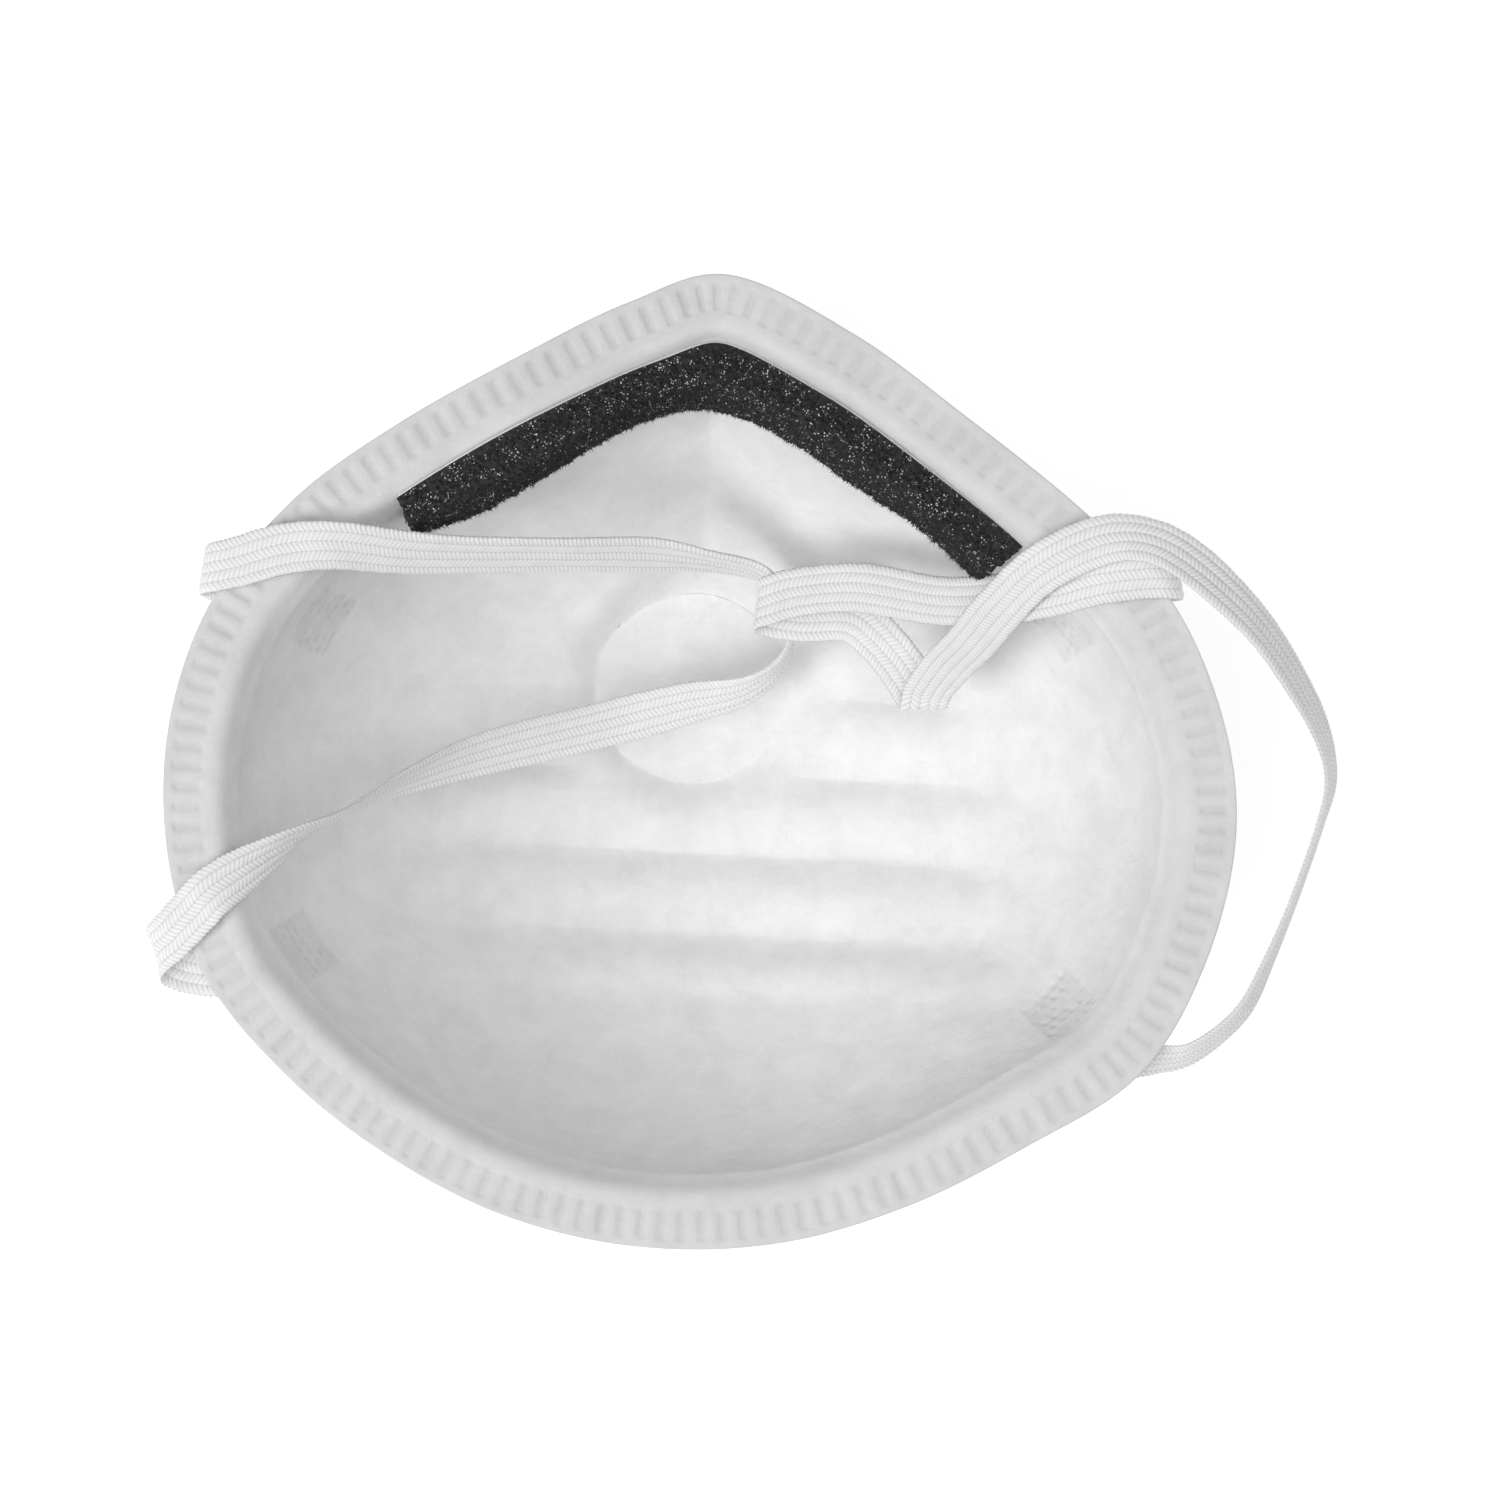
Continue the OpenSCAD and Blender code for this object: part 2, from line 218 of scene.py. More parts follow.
# ------------------------------------------------------------------ the cup grid
NC = 1152
N_DISC, N_DOME, N_FL = 30, 165, 26
U = np.arange(NC) / NC
UG = lambda n: np.repeat(U[:, None], n, 1)
disc = dome_rho(UG(N_DISC), np.repeat(np.linspace(0.35, BOSS_R + 1, N_DISC, endpoint=False)[None], NC, 0))
dome = dome_s(UG(N_DOME), np.repeat(np.linspace(0, 1, N_DOME, endpoint=False)[None], NC, 0))
fl_e = np.linspace(FLANGE_W, 0, N_FL)
flng = flange_e(UG(N_FL), np.repeat(fl_e[None], NC, 0))
P = np.concatenate([disc, dome, flng], 1)
NR = P.shape[1]
CORNER = N_DISC + N_DOME
# soften the boss edge and the root of the flange
for lo, hi, times in ((N_DISC - 10, N_DISC + 8, 7), (CORNER - 12, CORNER + 8, 40)):
    for _ in range(times):
        mid = 0.5 * P[:, lo:hi] + 0.25 * (P[:, lo - 1:hi - 1] + P[:, lo + 1:hi + 1])
        P[:, lo:hi] = mid
# the nose, where the columns bunch up
for _ in range(10):
    P[:, 20:CORNER + 6] = 0.5 * P[:, 20:CORNER + 6] + 0.25 * (np.roll(P, 1, 0) + np.roll(P, -1, 0))[:, 20:CORNER + 6]

seg = np.linalg.norm(np.diff(P, axis=1), axis=2)
ALONG = np.concatenate([np.zeros((NC, 1)), np.cumsum(seg, 1)], 1)
FROM_ROOT = ALONG - ALONG[:, CORNER:CORNER + 1]          # mm, negative on the wall
E = np.full((NC, NR), 99.0)
E[:, CORNER:] = fl_e
edge_xy = rim_at(U)
S_EDGE = np.concatenate([[0], np.cumsum(np.linalg.norm(np.diff(edge_xy, axis=0), axis=1))])
PERIM = S_EDGE[-1] + np.linalg.norm(edge_xy[0] - edge_xy[-1])
S_EDGE = np.repeat(S_EDGE[:, None], NR, 1)

# weld dashes of the flange
N_DASH = int(round(PERIM / 2.62))
ph = S_EDGE / PERIM * N_DASH
cell = np.floor(ph)
off = np.abs(ph - cell - 0.5) * PERIM / N_DASH
jit = np.sin(cell * 12.9898) * 43758.5453
jit = jit - np.floor(jit)
near, far = 0.95 + 0.25 * jit, 4.65 - 0.35 * jit
DASH = (1 - sm(0.28, 0.86, off)) * sm(near - 0.25, near + 0.2, E) * (1 - sm(far - 0.2, far + 0.3, E)) * (0.75 + 0.25 * jit)
DASH[:, :CORNER - 1] = 0
FLAT = sm(-2.5, 0.8, FROM_ROOT)

# strap weld patches, seen from the face side as a faint waffle
N0 = normals(P)
PATCH = np.zeros((NC, NR))
DOTS = np.zeros((NC, NR))
for cx, cy, cz in ((-49.8, 19.3, 33.5), (-52.0, -24.7, 37.5), (47.6, 18.9, 32.5), (46.9, -32.5, 36.0)):
    d = np.linalg.norm(P - (cx, cy, cz), axis=2)
    i, k = np.unravel_index(np.argmin(d), d.shape)
    c, n = P[i, k], N0[i, k]
    t = np.cross((0, 0, 1), n)
    t /= np.linalg.norm(t)
    w = np.cross(n, t)
    X, Y = (P - c) @ t, (P - c) @ w
    near_c = (d < 12)
    inside = (1 - sm(4.0, 4.8, np.abs(X))) * (1 - sm(5.4, 6.4, np.abs(Y))) * near_c
    PATCH = np.maximum(PATCH, inside)
    g = (0.5 + 0.5 * np.cos(2 * np.pi * (X + 0.4 * Y) / 1.75)) * (0.5 + 0.5 * np.cos(2 * np.pi * Y / 1.9))
    blotch = sm(-0.55, 0.25, fbm(P / 2.2, 2, 83))
    DOTS = np.maximum(DOTS, inside * sm(0.2, 0.75, g) * blotch)

# soft unevenness of the moulded felt, the same for every layer
fade = sm(3, 12, ALONG)
low = fbm(P / 17.0, 2, 3) * 0.16 + fbm(P / 6.0, 2, 5) * 0.06
P = P + N0 * (low * fade * (1 - FLAT))[..., None]
wave = np.sin(S_EDGE / PERIM * 2 * np.pi * 9 + 1.3) * 0.10 + np.sin(S_EDGE / PERIM * 2 * np.pi * 23) * 0.05
P[..., 2] += wave * FLAT
N0 = normals(P)
SHARE = 1 - (1 - WELD) * sm(-3.2, 1.6, FROM_ROOT)
SHARE = SHARE * (1 - 0.27 * DASH - 0.10 * DOTS - 0.05 * PATCH)
BASE_SHIFT = 0.07 * DASH + 0.06 * DOTS + 0.05 * PATCH
# the layers inside the flange are pressed evenly, so they never show through a weld dash
BAND = sm(0.5, 0.95, E) * (1 - sm(4.3, 5.1, E))
BAND[:, :CORNER - 1] = 0
SHARE_IN = (1 - (1 - WELD) * sm(-3.2, 1.6, FROM_ROOT)) * (1 - 0.27 * BAND - 0.12 * PATCH)
SHIFT_IN = 0.07 * BAND + 0.05 * PATCH


def face_at(d, fine=0.0, inside=False):
    q = P + N0 * ((d * SHARE_IN + SHIFT_IN) if inside else (d * SHARE + BASE_SHIFT))[..., None]
    if fine:
        wr = fbm(P / 1.7, 2, 11) * 0.034 + fbm(P * (0.45, 1.3, 0.8), 2, 19) * 0.022
        wr = wr + np.abs(vnoise(P / 2.6, 31)) * -0.03
        q = q + N0 * (fine * wr * (1 - 0.5 * FLAT))[..., None]
    return q


def sheet_layer(name, d_out, d_in, fine_out, fine_in, col_step, rows_out, rows_in, inset=0.0):
    """A closed web between two depths. Rows are picked from the cup grid."""
    deep = inset > 0
    out, inn = face_at(d_out, fine_out, deep)[::col_step, rows_out], face_at(d_in, fine_in, deep)[::col_step, rows_in]
    nc = out.shape[0]
    if inset:
        shift = np.concatenate([in_dir(U[::col_step]) * inset, np.zeros((nc, 1))], 1)
        out, inn = out.copy(), inn.copy()
        out[:, -1] += shift
        inn[:, -1] += shift
    no, ni = out.shape[1], inn.shape[1]
    po, pi_ = out[:, 0].mean(0), inn[:, 0].mean(0)
    verts = np.concatenate([out.reshape(-1, 3), inn.reshape(-1, 3), po[None], pi_[None]])
    b_in = nc * no
    quads = [grid_quads(nc, no, 0, flip=True), grid_quads(nc, ni, b_in)]
    i = np.arange(nc)
    j = (i + 1) % nc
    quads.append(np.stack([i * no + no - 1, b_in + i * ni + ni - 1, b_in + j * ni + ni - 1, j * no + no - 1], -1))
    tris = [np.stack([j * no, i * no, np.full(nc, len(verts) - 2)], -1), np.stack([b_in + i * ni, b_in + j * ni, np.full(nc, len(verts) - 1)], -1)]

    def both(a):
        return np.concatenate([a[::col_step, rows_out].ravel(), a[::col_step, rows_in].ravel(), [a[0, 0], a[0, 0]]])
    return make_mesh(name, verts, np.concatenate(quads), np.concatenate(tris),
                     {"weld": both(np.maximum(FLAT, 0)), "dash": both(np.maximum(DASH, DOTS)), "patch": both(PATCH),
                      "fold": both(sm(-6, 0, FROM_ROOT) * (1 - FLAT))})


def pick(step_dome):
    k = list(range(0, N_DISC, 2)) + list(range(N_DISC, CORNER - 16, step_dome)) + list(range(CORNER - 16, NR))
    return np.array(sorted(set(k + [NR - 1])))


ALL = np.arange(NR)
liner = sheet_layer("inner_liner_web", D3, D4, 0, 1.0, 1, pick(8), ALL)
cover = sheet_layer("outer_cover_web", 0.0, D1, 1.0, 0, 2, ALL, pick(8))
shell = sheet_layer("support_shell_felt", D1, D2, 0, 0, 4, pick(4), pick(4), 0.10)
media = sheet_layer("filter_media_web", D2, D3, 0, 0, 4, pick(4), pick(4), 0.16)


# ------------------------------------------------------------------ pads that follow the wall (foam, tape, clip, glue)
def bar_on_wall(u0, u1, s0, s1, d0, d1, n_len, corner, step, grow=0.0):
    """Closed bar between two depths of the wall. Returns grid [len, loop, 3] and its loop frame."""
    u = np.linspace(u0, u1, n_len)
    # rounded rectangle loop in (share, depth)
    probe = dome_s(np.full(2, (u0 + u1) / 2), np.array([s0, s1]))
    w = np.linalg.norm(probe[1] - probe[0]) + 2 * grow
    t = d1 - d0
    c = min(corner, 0.49 * t)
    pts = []
    for cx, cy, a0 in ((w - c, c, -90), (w - c, t - c, 0), (c, t - c, 90), (c, c, 180)):
        for a in np.linspace(a0, a0 + 90, 5):
            pts.append((cx + c * math.cos(math.radians(a)), cy + c * math.sin(math.radians(a))))
    pts = np.array(pts + pts[:1])
    L = np.concatenate([[0], np.cumsum(np.linalg.norm(np.diff(pts, axis=0), axis=1))])
    n = max(16, int(L[-1] / step))
    q = np.linspace(0, L[-1], n, endpoint=False)
    loop = np.stack([np.interp(q, L, pts[:, 0]), np.interp(q, L, pts[:, 1])], -1)
    across = (loop[:, 0] - grow) / (w - 2 * grow)
    depth = d0 + loop[:, 1]
    Ug, A = np.meshgrid(u, across, indexing="ij")
    S = s0 + (s1 - s0) * A
    e = 2e-3
    base = dome_s(Ug, S)
    du = dome_s(Ug + e, S) - dome_s(Ug - e, S)
    dv = dome_s(Ug, S + e) - dome_s(Ug, S - e)
    nn = np.cross(du, dv)
    nn /= np.linalg.norm(nn, axis=-1)[..., None]
    # even the normals along the bar, so a bent strip keeps its thickness at the nose
    for _ in range(int(n_len * 0.03) + 2):
        nn[1:-1] = 0.5 * nn[1:-1] + 0.25 * (nn[2:] + nn[:-2])
        base[1:-1] = 0.5 * base[1:-1] + 0.25 * (base[2:] + base[:-2])
    nn /= np.linalg.norm(nn, axis=-1)[..., None]
    return base + nn * depth[None, :, None], nn, loop, w, t


def bar_mesh(name, G, attrs=None):
    nl, nk = G.shape[:2]
    caps = np.stack([G[0].mean(0), G[-1].mean(0)])
    verts = np.concatenate([G.reshape(-1, 3), caps])
    i, k = np.meshgrid(np.arange(nl - 1), np.arange(nk), indexing="ij")
    k2 = (k + 1) % nk
    quads = np.stack([i * nk + k, i * nk + k2, (i + 1) * nk + k2, (i + 1) * nk + k], -1).reshape(-1, 4)
    k = np.arange(nk)
    k2 = (k + 1) % nk
    tris = np.concatenate([np.stack([k2, k, np.full(nk, nl * nk)], -1),
                           np.stack([(nl - 1) * nk + k, (nl - 1) * nk + k2, np.full(nk, nl * nk + 1)], -1)])
    return make_mesh(name, verts, quads, tris, attrs)


TOP = D4
clip_G, *_ = bar_on_wall(-7 / 72, 9 / 72, 0.645, 0.735, -GLUE_T - CLIP_T, -GLUE_T, 300, 0.22, 0.12)
clip = bar_mesh("nose_clip_strip", clip_G)
glue_G, *_ = bar_on_wall(-6.9 / 72, 8.9 / 72, 0.65, 0.73, -GLUE_T - 0.03, 0.06, 200, 0.05, 0.2)
glue = bar_mesh("nose_clip_glue", glue_G)

# centre line of the foam strip, x y in mm; the strip is bent by hand over the nose, so it does not follow the rim exactly
FOAM_MID = np.array([(-36.6, 31.4), (-30.1, 33.5), (-23.9, 36.8), (-17.6, 40.6), (-11.4, 44.5), (-5.8, 47.1), (-0.2, 48.1),
                     (5.5, 46.9), (11.1, 44.1), (17.4, 40.0), (23.6, 35.8), (29.3, 31.8), (34.3, 27.4), (36.8, 24.4)])
UU = np.linspace(-0.25, 0.25, 2001)
_A = seat_data(UU)[2]
_ANG = np.unwrap(np.arctan2(_A[:, 0], _A[:, 1]))
_ORD = np.argsort(_ANG)


def wall_gap(q):
    """Height over the outer face of the nose wall, and the normal of that face, at points q."""
    def z_at(xy):
        d = xy - POLE
        u = np.interp(np.arctan2(d[..., 0], d[..., 1]), _ANG[_ORD], UU[_ORD])
        return dome_rho(u, np.linalg.norm(d, axis=-1))[..., 2]
    e = 0.2
    gx = (z_at(q[..., :2] + [e, 0]) - z_at(q[..., :2] - [e, 0])) / (2 * e)
    gy = (z_at(q[..., :2] + [0, e]) - z_at(q[..., :2] - [0, e])) / (2 * e)
    n = np.stack([-gx, -gy, np.ones_like(gx)], -1)
    n /= np.linalg.norm(n, axis=-1)[..., None]
    return (q[..., 2] - z_at(q[..., :2])) * n[..., 2], n


def even(a, sigma):
    """Gaussian smoothing along the first axis; the ends keep their slope."""
    k = int(3 * sigma)
    ker = np.exp(-0.5 * (np.arange(-k, k + 1) / sigma) ** 2)
    ker /= ker.sum()
    head = 2 * a[:1] - a[k:0:-1]
    tail = 2 * a[-1:] - a[-2:-k - 2:-1]
    b = np.concatenate([head, a, tail])
    return np.stack([np.convolve(b[:, i], ker, "valid") for i in range(b.shape[1])], -1)


def bent_bar(mid, w, t, d_back, n_len, corner, step, rigid=True):
    """Rounded bar along a free centre line; its back is pressed onto the wall d_back over the outer face."""
    n = len(mid)
    j = np.linspace(0, n - 1, 1500)
    i = np.minimum(n - 2, np.floor(j).astype(int))
    f = (j - i)[:, None]
    C = cr(mid[np.maximum(0, i - 1)], mid[i], mid[i + 1], mid[np.minimum(n - 1, i + 2)], f)
    L = np.concatenate([[0], np.cumsum(np.linalg.norm(np.diff(C, axis=0), axis=1))])
    q = np.linspace(0, L[-1], n_len)
    C = even(np.stack([np.interp(q, L, C[:, k]) for k in range(2)], -1), 9 / 85 * n_len / 4)
    u = np.linspace(-10.6 / 72, 8.6 / 72, n_len)
    e0, e1 = dome_s(u, np.full(n_len, 0.75)), dome_s(u, np.full(n_len, 0.91))
    across = even(e1 - e0, n_len * 0.06)
    T = np.gradient(np.concatenate([C, even(0.5 * (e0 + e1)[:, 2:], n_len * 0.05)], 1), axis=0)
    T /= np.linalg.norm(T, axis=1)[:, None]
    across -= T * (across * T).sum(1)[:, None]
    across /= np.linalg.norm(across, axis=1)[:, None]
    nn = np.cross(across, T)
    nn *= np.sign(nn[:, 2:])
    lift = np.interp(np.linspace(0, 1, n_len), [0, 0.2, 0.45, 0.8, 1], [2.9, 1.9, -1.2, 0.4, 1.4])[:, None]
    z = even(0.5 * (e0 + e1)[:, 2:] + lift, n_len * 0.05) + nn[:, 2:] * (TOP + TAPE_T + FOAM_T / 2)
    M = np.concatenate([C, z], 1)
    c = min(corner, 0.49 * t)
    pts = []
    for cx, cy, a0 in ((w - c, c, -90), (w - c, t - c, 0), (c, t - c, 90), (c, c, 180)):
        for a in np.linspace(a0, a0 + 90, 5):
            pts.append((cx + c * math.cos(math.radians(a)), cy + c * math.sin(math.radians(a))))
    pts = np.array(pts + pts[:1])
    L = np.concatenate([[0], np.cumsum(np.linalg.norm(np.diff(pts, axis=0), axis=1))])
    m = max(16, int(L[-1] / step))
    q = np.linspace(0, L[-1], m, endpoint=False)
    loop = np.stack([np.interp(q, L, pts[:, 0]), np.interp(q, L, pts[:, 1])], -1)
    # press the back onto the wall
    back = M[:, None] + across[:, None] * (loop[None, :, 0:1] - w / 2) - nn[:, None] * (FOAM_T / 2)
    at = back.copy()
    for _ in range(6):
        g, wn = wall_gap(at)
        at = at - nn[:, None] * np.clip((g - d_back) / np.maximum((wn * nn[:, None]).sum(-1), 0.4), -1.5, 1.5)[..., None]
    shift = np.stack([even(x, 4) for x in np.moveaxis(at - back, 1, 0)], 1)
    return back + nn[:, None] * loop[None, :, 1:2] + shift * ((1 - loop[None, :, 1:2] / t) if rigid else 1.0), loop


foam_G, foam_loop = bent_bar(FOAM_MID, 8.6, FOAM_T, TOP + TAPE_T, 440, 0.9, 0.20)


def open_cell(G, pore=0.62, seed=5):
    """Open-cell foam skin: pits between raised cell walls and uneven cut faces."""
    rng = np.random.default_rng(seed)
    nl, nk = G.shape[:2]
    n = np.cross(np.gradient(G, axis=0), np.roll(G, -1, 1) - np.roll(G, 1, 1))
    n = -n / np.maximum(np.linalg.norm(n, axis=-1), 1e-9)[..., None]
    if ((G - G.mean(1, keepdims=True)) * n).sum() < 0:
        n = -n
    flat = G.reshape(-1, 3)
    area = 85 * 28.0
    count = int(area / (pore * pore * 0.62))
    seeds = flat[rng.integers(0, len(flat), count)] + rng.normal(0, 0.16, (count, 3))
    tree = KDTree(count)
    for i, s in enumerate(seeds):
        tree.insert(Vector(s), i)
    tree.balance()
    d = np.empty((len(flat), 2))
    for i, p in enumerate(flat):
        r = tree.find_n(Vector(p), 2)
        d[i] = (r[0][2], r[1][2])
    d = d.reshape(nl, nk, 2)
    pit = 1 - np.clip(d[..., 0] / (pore * 0.5), 0, 1) ** 2
    wall = 1 - np.clip((d[..., 1] - d[..., 0]) / 0.16, 0, 1)
    h = -0.34 * pit + 0.10 * wall + fbm(G / 0.55, 2, 41) * 0.12 + fbm(G / 5.0, 2, 47) * 0.26
    ends = np.minimum(np.arange(nl), nl - 1 - np.arange(nl))[:, None] * (85.0 / nl)
    h = h * (0.35 + 0.65 * sm(0, 0.6, ends))
    h = h * sm(0.15, 1.3, foam_loop[:, 1])[None]          # the back is flat on its tape
    return G + n * h[..., None], n, pit, wall


foam_D, foam_n, foam_pit, foam_wall = open_cell(foam_G)
tape_G, _ = bent_bar(FOAM_MID, 7.4, TAPE_T + 0.1, TOP - 0.1, 260, 0.06, 0.3, rigid=False)
tape = bar_mesh("foam_tape_strip", tape_G)
nl, nk = foam_D.shape[:2]
# ragged ends: the strip is torn or die cut, not square
for end, sgn in ((0, 1), (nl - 1, -1)):
    tang = foam_G[min(end + 4, nl - 1) if sgn > 0 else end - 4] - foam_G[end]
    tang /= np.linalg.norm(tang, axis=-1)[..., None]
    for k in range(10):
        i = end + sgn * k
        rag = fbm(foam_G[i] / 0.9, 2, 61) * 0.35 * (1 - k / 10)
        foam_D[i] = foam_D[i] + tang * rag[:, None]
# fuzz: broken cell walls standing off the skin
rng = np.random.default_rng(12)
n_f = 34000
fi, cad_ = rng.integers(2, nl - 2, n_f), rng.choice(np.flatnonzero(foam_loop[:, 1] > 0.9), n_f)
root, dirn = foam_D[fi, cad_] - foam_n[fi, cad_] * 0.12, foam_n[fi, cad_] + rng.normal(0, 0.55, (n_f, 3))
dirn /= np.linalg.norm(dirn, axis=1)[:, None]
ln = 0.24 + 0.55 * rng.random(n_f) ** 1.6
side = np.cross(dirn, rng.normal(0, 1, (n_f, 3)))
side /= np.linalg.norm(side, axis=1)[:, None]
side2 = np.cross(dirn, side)
wd = (0.040 + 0.05 * rng.random(n_f))[:, None]
fv = np.stack([root + side * wd, root - side * wd * 0.5 + side2 * wd * 0.87, root - side * wd * 0.5 - side2 * wd * 0.87,
               root + dirn * ln[:, None]], 1)
caps = np.stack([foam_D[0].mean(0), foam_D[-1].mean(0)])
fverts = np.concatenate([foam_D.reshape(-1, 3), caps, fv.reshape(-1, 3)])
i, k = np.meshgrid(np.arange(nl - 1), np.arange(nk), indexing="ij")
k2 = (k + 1) % nk
fq = np.stack([i * nk + k, i * nk + k2, (i + 1) * nk + k2, (i + 1) * nk + k], -1).reshape(-1, 4)
k = np.arange(nk)
k2 = (k + 1) % nk
b = nl * nk + 2 + np.arange(n_f) * 4
ft = np.concatenate([np.stack([k2, k, np.full(nk, nl * nk)], -1), np.stack([(nl - 1) * nk + k, (nl - 1) * nk + k2, np.full(nk, nl * nk + 1)], -1),
                     np.stack([b, b + 2, b + 1], -1), np.stack([b, b + 1, b + 3], -1), np.stack([b + 1, b + 2, b + 3], -1), np.stack([b + 2, b, b + 3], -1)])
one = np.zeros(2)
# the pit and strut attributes also drive painted shade in the pits and painted highlight on the cell walls and fuzz
foam = make_mesh("nose_foam_strip", fverts, fq, ft,
                 {"pit": np.concatenate([foam_pit.ravel(), one, np.zeros(n_f * 4)]),
                  "strut": np.concatenate([foam_wall.ravel(), one, np.ones(n_f * 4)])}, smooth=False)


# ------------------------------------------------------------------ flat braided elastic
LEFT = [
    ((-47.8, 18.7, 26.2), (0.54, 0.84, 0)), ((-49.8, 19.1, 30.3), (0.54, 0.84, 0)), ((-51.6, 19.4, 34.9), (0.54, 0.84, 0)),
    ((-53, 19.7, 40), (0.54, 0.84, 0)), ((-54.8, 20.4, 43.8), (0.5, 0.85, 0)), ((-58, 22.3, 45.6), (0.35, 0.93, 0)),
    ((-60.2, 23.2, 46.6), (0.2, 1, 0)), ((-61, 23.6, 48.4), (0.15, 1, 0)), ((-59.8, 23.9, 50.1), (0.1, 1, 0)),
    ((-56.6, 24.6, 50.4), (0, 1, 0)), ((-50.8, 26.2, 50.2), (0, 1, 0)), ((-44.4, 26.6, 49.3), (0, 0.95, 0.3)),
    ((-34.6, 25.8, 44.6), (0, 0.75, 0.65)), ((-18, 26, 36.4), (0, 0.6, 0.8)), ((-7.8, 26.2, 30.4), (0.1, 0.7, 0.8)),
    ((-0.3, 25.7, 26), (0.1, 0.4, 0.95)), ((6.1, 24.6, 21.5), (0.2, 0.25, 0.95)), ((9.6, 22.4, 19.2), (0.1, 0.1, 1)),
    ((12, 19.3, 17.8), (0, 0, 1)), ((11.4, 15.6, 16.8), (0, 0.1, 1)), ((9.2, 11.8, 15.6), (-0.1, 0.3, 1)),
    ((4.8, 9, 14.6), (-0.1, 0.6, 0.8)), ((-2.5, 7.4, 14.4), (-0.2, 0.9, 0.5)), ((-13.3, 4.7, 16.6), (-0.25, 0.95, 0.35)),
    ((-28.4, 0.9, 25), (-0.05, 0.9, 0.5)), ((-38, -2.6, 33.5), (0.35, 0.6, 0.75)), ((-46.1, -7.2, 42), (0.55, 0.33, 0.76)),
    ((-51.5, -10.4, 47.8), (0.2, 0.7, 0.65)), ((-58.9, -15.2, 51.5), (-0.45, 0.85, 0.2)), ((-62.2, -18.5, 51.3), (-0.5, 0.85, 0)),
    ((-65, -21.4, 50.5), (-0.4, 0.92, 0)), ((-66.7, -23, 49), (-0.35, 0.94, 0)), ((-66.2, -24.2, 47.2), (-0.35, 0.94, 0)),
    ((-63.6, -25.3, 46), (-0.4, 0.9, 0)), ((-59, -26, 45), (-0.5, 0.85, 0)), ((-55.1, -25.9, 43.1), (-0.55, 0.83, 0)),
    ((-53.6, -25.5, 39.8), (-0.56, 0.83, 0)), ((-52.3, -25, 36.2), (-0.58, 0.82, 0)), ((-50.9, -24.2, 32.4), (-0.58, 0.82, 0)),
    ((-49.3, -23, 28.9), (-0.58, 0.82, 0)), ((-47.3, -21.7, 25.1), (-0.59, 0.81, 0))]
LEFT_CUT = (8, 30)
RIGHT = [
    ((44.7, 18.5, 24.8), (-0.64, 0.77, 0)), ((46.5, 18.8, 28.1), (-0.64, 0.77, 0)), ((48.2, 19.1, 31.9), (-0.64, 0.77, 0)),
    ((49.5, 19.4, 35.6), (-0.64, 0.77, 0)), ((50.6, 19.5, 39.3), (-0.64, 0.77, 0)), ((52, 20.1, 43.2), (-0.6, 0.8, 0)),
    ((54.4, 21.8, 45.2), (-0.45, 0.9, 0)), ((57.2, 22.7, 46.1), (-0.25, 1, 0)), ((58.7, 23, 47.8), (-0.2, 1, 0)),
    ((57.4, 23.1, 49.7), (-0.2, 1, 0)), ((54.4, 23.1, 50.4), (-0.1, 1, 0.1)), ((48.8, 22.4, 50.4), (0, 1, 0)),
    ((43, 20.9, 48.6), (0, 1, 0)), ((37, 20.2, 43.2), (0, 1, 0)), ((29.8, 20.2, 37.2), (0, 1, 0)),
    ((20, 22, 31.6), (0, 1, 0)), ((12.5, 21.6, 28.9), (0.1, 1, 0)), ((8.6, 20.6, 27.8), (0.1, 1, 0)),
    ((7.2, 19.8, 26), (0.1, 1, 0)), ((8.8, 19, 24.4), (0.1, 1, 0)), ((13, 18.4, 23.8), (0.3, 1, 0)),
    ((18.8, 18.4, 24), (0.65, 0.8, 0.1)), ((22.2, 16, 24.6), (0.85, 0.45, 0.3)), ((25.4, 12.2, 25), (0.95, 0.2, 0.2)),
    ((27.5, 8.8, 25.3), (1, 0.05, 0)), ((28.2, 7, 26.4), (1, 0, 0)), ((28.7, 8.8, 27.8), (1, -0.05, 0)),
    ((30.8, 11.8, 32.6), (0.93, -0.3, 0.1)), ((33.6, 14.8, 39.2), (0.85, -0.5, 0.1)), ((36.6, 18.6, 45.8), (0.8, -0.6, 0.1)),
    ((41.4, 23.4, 51), (0.65, -0.75, 0)), ((47.8, 26.7, 52.2), (0.35, -0.92, 0.1)), ((53.2, 27.4, 52.6), (0.05, -0.9, 0.35)),
    ((58.6, 25.4, 52.9), (-0.2, -0.85, 0.45)), ((65.6, 19.4, 53.6), (-0.45, -0.65, 0.6)), ((70.6, 13.2, 54), (-0.5, -0.4, 0.75)),
    ((75, 5.4, 53.8), (-0.45, -0.2, 0.85)), ((77, -1.4, 53), (-0.3, 0, 0.95)), ((75.9, -7.6, 51.5), (-0.2, 0, 1)),
    ((73.1, -16.5, 49), (-0.2, 0, 0.97)), ((70, -24.6, 46.6), (-0.3, 0, 0.95)), ((66.6, -31.4, 44.7), (-0.3, 0.25, 0.92)),
    ((61, -36, 44), (0, 0.5, 0.85)), ((56.4, -36.9, 43.8), (0.2, 0.6, 0.75)), ((52.8, -36.6, 43), (0.4, 0.7, 0.45)),
    ((50.2, -35.5, 41.6), (0.65, 0.72, 0.1)), ((48.9, -34.2, 38.5), (0.71, 0.7, 0)), ((47.7, -33.2, 35.3), (0.72, 0.7, 0)),
    ((46.3, -32.3, 32), (0.72, 0.7, 0)), ((44.9, -30.8, 28.6), (0.73, 0.69, 0)), ((42.9, -29, 24.8), (0.75, 0.66, 0))]
